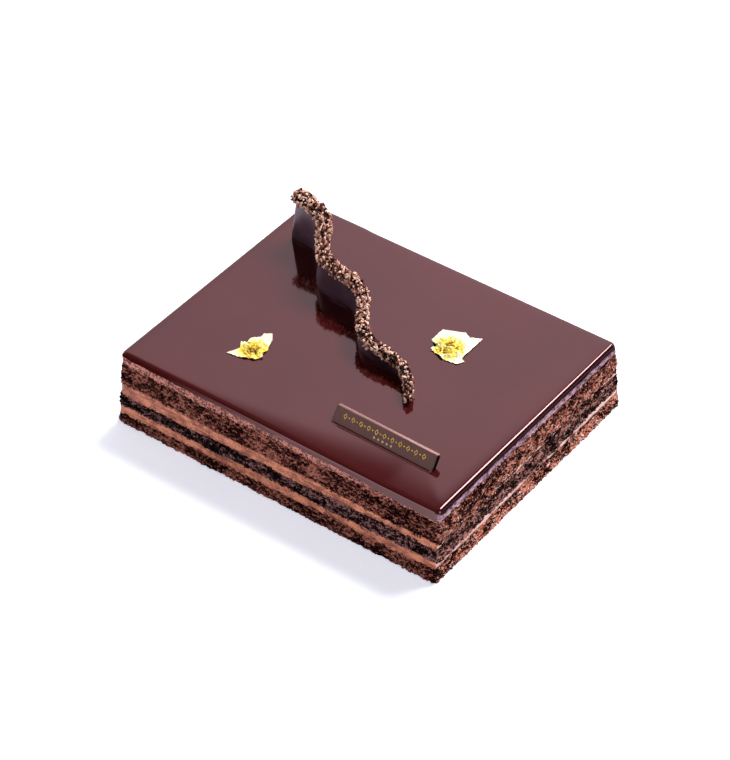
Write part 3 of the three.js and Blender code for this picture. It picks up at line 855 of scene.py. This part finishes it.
bpy.ops.mesh.primitive_cylinder_add(
    vertices=24,
    radius=BEAD_RADIUS,
    depth=BEAD_LENGTH,
    location=TABLET_FOOT - Vector((0, BEAD_SUNK, BEAD_SUNK)),
    rotation=(0, math.pi / 2, TABLET_TURN),
)
bead = bpy.context.active_object
bead.name = "glaze_bead_at_the_tablet"
bpy.ops.object.transform_apply(location=True, rotation=True, scale=True)
select_where(bead, "edges", lambda edge: abs(ends(bead, edge)[0].x - ends(bead, edge)[1].x) < 1 * MM)
bpy.ops.mesh.bevel(offset=BEAD_BEVEL, segments=4)
bpy.ops.mesh.select_all(action="SELECT")
bpy.ops.mesh.bisect(
    plane_co=(0, 0, CAKE_HEIGHT - BEAD_SUNK - BEAD_CUT),
    plane_no=(0, 0, 1),
    clear_inner=True,
    use_fill=True,
)
bpy.ops.object.mode_set(mode="OBJECT")
bpy.ops.object.shade_smooth_by_angle(angle=math.radians(50))
dress(bead, glaze.data.materials[0], "chocolate_glaze")

# The prints stand a hair proud of the face: open lozenges with dots between them in a row, and
# a short row of small solid lozenges below it.
PRINT_RELIEF = 0.06 * MM
PRINT_POWDER = 0.33 * MM
ROW_PITCH = 1.95 * MM
ROW_COUNT = 21
ROW_HEIGHT = 4.5 * MM
LOZENGE_TALL = 2.5 * MM
LOZENGE_WIDE = 1.8 * MM
LOZENGE_LINE = 0.24 * MM
DOT_WIDE = 0.6 * MM
SMALL_ROW_PITCH = 2.1 * MM
SMALL_ROW_COUNT = 5
SMALL_ROW_HEIGHT = 2.1 * MM
SMALL_LOZENGE = 1.2 * MM
PRINT_GOLD = "eebb4a"
PRINT_PALE_GOLD = "c4a583"


def gold_print_material(name, colour):
    """Gold lustre printed on chocolate: a thin metallic powder, half matt."""
    material, tree = new_material(name)
    place = add_node(tree, "ShaderNodeTexCoord").outputs["Object"]
    powder = add_node(tree, "ShaderNodeTexNoise", {"Vector": place, "Scale": 1 / PRINT_POWDER, "Detail": 2})
    wear = add_node(tree, "ShaderNodeMapRange", {0: powder.outputs["Fac"], 1: 0.3, 2: 0.7, 3: 0.35, 4: 0.6})
    surface = add_node(tree, "ShaderNodeBsdfPrincipled", {
        "Base Color": linear(colour),
        "Metallic": 0.6,
        "Roughness": wear.outputs[0],
    })
    add_node(tree, "ShaderNodeOutputMaterial", {"Surface": surface.outputs["BSDF"]})
    return material


def lozenge_ring():
    """An open lozenge that lies flat, longest across its row."""
    bpy.ops.mesh.primitive_torus_add(
        major_segments=4,
        minor_segments=8,
        major_radius=LOZENGE_TALL / 2 - LOZENGE_LINE,
        minor_radius=LOZENGE_LINE,
    )
    ring = bpy.context.active_object
    ring.scale = (LOZENGE_WIDE / LOZENGE_TALL, 1, PRINT_RELIEF / LOZENGE_LINE)
    bpy.ops.object.transform_apply(location=True, rotation=True, scale=True)
    return ring


def printed_dot(width, corners):
    """A solid dot that lies flat, or with four corners a solid lozenge."""
    bpy.ops.mesh.primitive_cylinder_add(vertices=corners, radius=width / 2, depth=2 * PRINT_RELIEF)
    bpy.ops.object.mode_set(mode="EDIT")
    bpy.ops.mesh.bevel(offset=PRINT_RELIEF / 2, segments=1)
    bpy.ops.object.mode_set(mode="OBJECT")
    return bpy.context.active_object


def print_row(name, shapes, count, pitch, height):
    """Copies flat shapes in turn along a row on the tablet's face, and joins the copies."""
    prints = []
    for number in range(count):
        copy = shapes[number % len(shapes)].copy()
        copy.data = copy.data.copy()
        bpy.context.collection.objects.link(copy)
        along = (number - (count - 1) / 2) * pitch
        stand = Matrix.Translation((along, 0, height)) @ Matrix.Rotation(math.pi / 2, 4, "X")
        copy.matrix_world = tablet_frame @ stand
        prints.append(copy)
    for shape in shapes:
        bpy.data.objects.remove(shape)
    bpy.ops.object.select_all(action="DESELECT")
    for copy in prints:
        copy.select_set(True)
    bpy.context.view_layer.objects.active = prints[0]
    bpy.ops.object.join()
    bpy.ops.object.transform_apply(location=True, rotation=True, scale=True)
    prints[0].name = name
    return prints[0]


row_shapes = [lozenge_ring(), printed_dot(DOT_WIDE, 12)]
row = print_row("gold_lozenge_row", row_shapes, ROW_COUNT, ROW_PITCH, ROW_HEIGHT)
dress(row, gold_print_material("gold_lustre_print", PRINT_GOLD), "gold_leaf")
small_shapes = [printed_dot(SMALL_LOZENGE, 4)]
small_row = print_row(
    "small_lozenge_row", small_shapes, SMALL_ROW_COUNT, SMALL_ROW_PITCH, SMALL_ROW_HEIGHT
)
dress(small_row, gold_print_material("pale_gold_print", PRINT_PALE_GOLD), "gold_leaf")

# ---------------------------------------------------------------- gold leaf
# Edible gold beaten to a skin far thinner than paper. A flake is torn off with a brush and
# dropped on the glaze, where its middle crumples into sharp folds and its corners stay flat.
LEAF_CELL = 0.3 * MM
LEAF_SPAN = 24 * MM
LEAF_SKIN = 0.04 * MM
LEAF_LIFT = 0.35 * MM
LEAF_FOLD = 3.0 * MM
LEAF_CREASE = 1.1 * MM
LEAF_RELIEF = (2.3 * MM, 1.3 * MM)
LEAF_FLAT = 0.12
LEAF_PULL = 0.5 * MM
LEAF_PULL_SIZE = 2 * MM
LEAF_RANDOM_FLECK = 1.43 * MM
LEAF_FLAT_HIGHLIGHT = 0.8
LEAF_FOLD_SHADE = 1.02
LEAF_RAISED_LIGHT = 0.6
LEFT_LEAF_PLACE = (-38.4, -28.3)
LEFT_LEAF_OUTLINE = (
    (-6.6, -9.6), (-3.7, -4.2), (-6.0, -0.8), (-3.4, 0.6), (-4.3, 3.6), (-1.3, 6.6), (-1.7, 9.0),
    (1.2, 11.0), (3.6, 7.8), (4.6, 5.0), (6.2, 1.2), (5.6, -2.0), (7.6, -3.4), (5.6, -6.0), (-0.4, -8.8),
)
RIGHT_LEAF_PLACE = (26.6, 22.0)
RIGHT_LEAF_OUTLINE = (
    (-8.6, -3.4), (-8.6, 5.0), (-4.4, 6.6), (0.2, 8.8), (3.2, 7.2), (8.2, 9.8), (8.1, -5.6),
    (10.2, -6.6), (8.4, -9.8), (2.0, -10.6), (-5.6, -8.2), (-4.0, -5.8),
)


def foil_material():
    """Gold leaf: bright metal, painted pale where it lies flat or stands up, as a painted highlight, and
    deeper yellow to near black down in the folds, as painted shade, with a random fleck.
    """
    material, tree = new_material("gold_leaf_foil")
    place = add_node(tree, "ShaderNodeTexCoord").outputs["Object"]
    fold_shading = add_node(tree, "ShaderNodeAttribute", attribute_name="fold_shading")
    random_fleck = add_node(tree, "ShaderNodeTexNoise", {"Vector": place, "Scale": 1 / LEAF_RANDOM_FLECK, "Detail": 4})
    shade = add_node(
        tree,
        "ShaderNodeMath",
        {0: random_fleck.outputs["Fac"], 1: 0.5, 2: fold_shading.outputs["Fac"]},
        operation="MULTIPLY_ADD",
    )
    colour = add_node(tree, "ShaderNodeValToRGB", {"Fac": shade.outputs[0]})
    set_ramp(colour, [
        (0.14, "1c1203"), (0.28, "98640a"), (0.44, "e8bf22"), (0.62, "f4e256"), (0.84, "f8ecc8"),
    ])
    surface = add_node(tree, "ShaderNodeBsdfPrincipled", {
        "Base Color": colour.outputs["Color"],
        "Metallic": 0.1,
        "Roughness": 0.4,
    })
    add_node(tree, "ShaderNodeOutputMaterial", {"Surface": surface.outputs["BSDF"]})
    return material


def inside(x, y, outline):
    """Whether a place lies inside a closed outline."""
    crossings = 0
    for (ax, ay), (bx, by) in zip(outline, outline[1:] + outline[:1]):
        if (ay > y) != (by > y) and x < ax + (y - ay) * (bx - ax) / (by - ay):
            crossings += 1
    return crossings % 2 == 1


def torn_leaf(name, node, place, outline, middle, reach, seed):
    """A flake torn to an outline, crumpled about its middle and lifted off the glaze.

    Its place, outline, middle and reach are in millimetres.
    """
    noise.seed_set(seed)
    cells = round(LEAF_SPAN / LEAF_CELL)
    bpy.ops.mesh.primitive_grid_add(x_subdivisions=cells, y_subdivisions=cells, size=LEAF_SPAN)
    leaf = bpy.context.active_object
    leaf.name = name
    select_where(
        leaf, "polygons", lambda face: not inside(face.center.x / MM, face.center.y / MM, outline)
    )
    bpy.ops.mesh.delete(type="FACE")
    bpy.ops.object.mode_set(mode="OBJECT")
    fold_shading = leaf.data.attributes.new("fold_shading", "FLOAT", "POINT")
    for vertex in leaf.data.vertices:
        spot = Vector((vertex.co.x, vertex.co.y, seed * MM))
        away = (Vector((spot.x, spot.y)) - Vector(middle) * MM).length / (reach * MM)
        crumpled = graded(away * away, 1, 0, LEAF_FLAT, 1)
        broad = abs(noise.noise(spot / LEAF_FOLD))
        sharp = abs(noise.noise(spot / LEAF_CREASE))
        height = crumpled * (LEAF_RELIEF[0] * broad + LEAF_RELIEF[1] * sharp)
        # The fold shading paints flat and raised parts pale, as a painted highlight, and deep folds darker,
        # as painted shade.
        raised = min(LEAF_RAISED_LIGHT, broad + 0.8 * sharp)
        fold_shading.data[vertex.index].value = LEAF_FLAT_HIGHLIGHT - crumpled * (LEAF_FOLD_SHADE - raised)
        pull = crumpled * LEAF_PULL * noise.noise_vector(spot / LEAF_PULL_SIZE)
        vertex.co = Vector((
            place[0] * MM + vertex.co.x + pull.x,
            place[1] * MM + vertex.co.y + pull.y,
            CAKE_HEIGHT + LEAF_LIFT + height,
        ))
    skin = leaf.modifiers.new("skin", "SOLIDIFY")
    skin.thickness = LEAF_SKIN
    bpy.ops.object.modifier_apply(modifier=skin.name)
    dress(leaf, gold_foil, "gold_leaf", node)


gold_foil = foil_material()
torn_leaf(
    "torn_gold_leaf_left",
    "gold_leaf_left",
    LEFT_LEAF_PLACE,
    LEFT_LEAF_OUTLINE,
    middle=(1.5, -2.0),
    reach=8.0,
    seed=3,
)
torn_leaf(
    "torn_gold_leaf_right",
    "gold_leaf_right",
    RIGHT_LEAF_PLACE,
    RIGHT_LEAF_OUTLINE,
    middle=(0.0, -3.5),
    reach=9.0,
    seed=8,
)

# ---------------------------------------------------------------- floor, light and camera
# A white sweep under a large soft light above and behind the cake, with a bright screen at the
# back left, and a camera that looks down from the front right.
FLOOR_SIZE = 8
PAPER_WHITE = "f2f2f2"
PAPER_GLOW = "edf0ff"
PAPER_GLOW_STRENGTH = 0.57

bpy.ops.mesh.primitive_plane_add(size=FLOOR_SIZE, location=(0, 0, 0))
floor = bpy.context.active_object
floor.name = "floor"
paper, tree = new_material("white_paper")
surface = add_node(tree, "ShaderNodeBsdfPrincipled", {
    "Base Color": linear(PAPER_WHITE),
    "Roughness": 0.9,
    "Emission Color": linear(PAPER_GLOW),
    "Emission Strength": PAPER_GLOW_STRENGTH,
})
add_node(tree, "ShaderNodeOutputMaterial", {"Surface": surface.outputs["BSDF"]})
floor.data.materials.append(paper)

# The screen is a bright patch of the world, in one direction and up to a height, and a little
# dimmer past its left end. The rest of the world is nearly dark.
ROOM_COLOUR = "f1f6ff"
ROOM_STRENGTH = 0.1
SCREEN_STRENGTH = 1.52
SCREEN_DIRECTION = (-0.59, 0.807, 0)
SCREEN_SPREAD = (0.2, 0.76)
SCREEN_TOP = (0.75, 0.67)
SCREEN_LEFT = (-0.57, -0.44)
SCREEN_LEFT_SHARE = 0.66

world = bpy.data.worlds.new("studio")
world.use_nodes = True
tree = world.node_tree
way = add_node(tree, "ShaderNodeTexCoord").outputs["Generated"]
toward = add_node(
    tree, "ShaderNodeVectorMath", {0: way, 1: SCREEN_DIRECTION}, operation="DOT_PRODUCT"
).outputs["Value"]
parts = add_node(tree, "ShaderNodeSeparateXYZ", {"Vector": way})
left_end = add_node(
    tree,
    "ShaderNodeMapRange",
    {0: parts.outputs["X"], 1: SCREEN_LEFT[0], 2: SCREEN_LEFT[1], 3: SCREEN_LEFT_SHARE},
).outputs[0]
across = add_node(
    tree,
    "ShaderNodeMapRange",
    {0: toward, 1: SCREEN_SPREAD[0], 2: SCREEN_SPREAD[1]},
    interpolation_type="SMOOTHSTEP",
).outputs[0]
below = add_node(
    tree,
    "ShaderNodeMapRange",
    {0: parts.outputs["Z"], 1: SCREEN_TOP[0], 2: SCREEN_TOP[1]},
    interpolation_type="SMOOTHSTEP",
).outputs[0]
screen = add_node(tree, "ShaderNodeMath", {0: across, 1: below}, operation="MULTIPLY").outputs[0]
screen = add_node(tree, "ShaderNodeMath", {0: screen, 1: left_end}, operation="MULTIPLY").outputs[0]
bright = add_node(
    tree, "ShaderNodeMath", {0: screen, 1: SCREEN_STRENGTH, 2: ROOM_STRENGTH}, operation="MULTIPLY_ADD"
).outputs[0]
backdrop = tree.nodes["Background"]
backdrop.inputs["Color"].default_value = linear(ROOM_COLOUR)
tree.links.new(bright, backdrop.inputs["Strength"])
bpy.context.scene.world = world


def soft_light(name, direction, distance, width, height, power):
    """A soft light that looks at the cake from a direction. Sizes are in metres, power in watts."""
    place = Vector(direction).normalized() * distance
    bpy.ops.object.light_add(type="AREA", location=place)
    light = bpy.context.active_object
    light.name = name
    light.rotation_euler = place.to_track_quat("Z", "Y").to_euler()
    light.data.shape = "RECTANGLE"
    light.data.size = width
    light.data.size_y = height
    light.data.energy = power


soft_light("key", (0.13, 0.56, 0.82), 1.6, 0.9, 0.5, 36)
soft_light("front_fill", (-0.4, -0.9, 0.15), 2.0, 1.2, 0.8, 8.5)
soft_light("right_fill", (1.0, -0.2, 0.35), 2.0, 0.8, 0.8, 14)
soft_light("left_fill", (-1.0, -0.3, 0.25), 2.0, 0.8, 0.8, 4)

CAMERA_PLACE = Vector((537.4, -728.3, 807.1)) * MM
CAMERA_AIM = Vector((-6.9, 6.1, 10.3)) * MM
CAMERA_LENS = 136.85
CAMERA_SENSOR = 36

bpy.ops.object.camera_add(location=CAMERA_PLACE)
camera = bpy.context.active_object
camera.rotation_euler = (CAMERA_PLACE - CAMERA_AIM).to_track_quat("Z", "Y").to_euler()
camera.data.lens = CAMERA_LENS
camera.data.sensor_width = CAMERA_SENSOR
camera.data.clip_start = 10 * MM
bpy.context.scene.camera = camera
bpy.context.scene.view_settings.view_transform = "Standard"
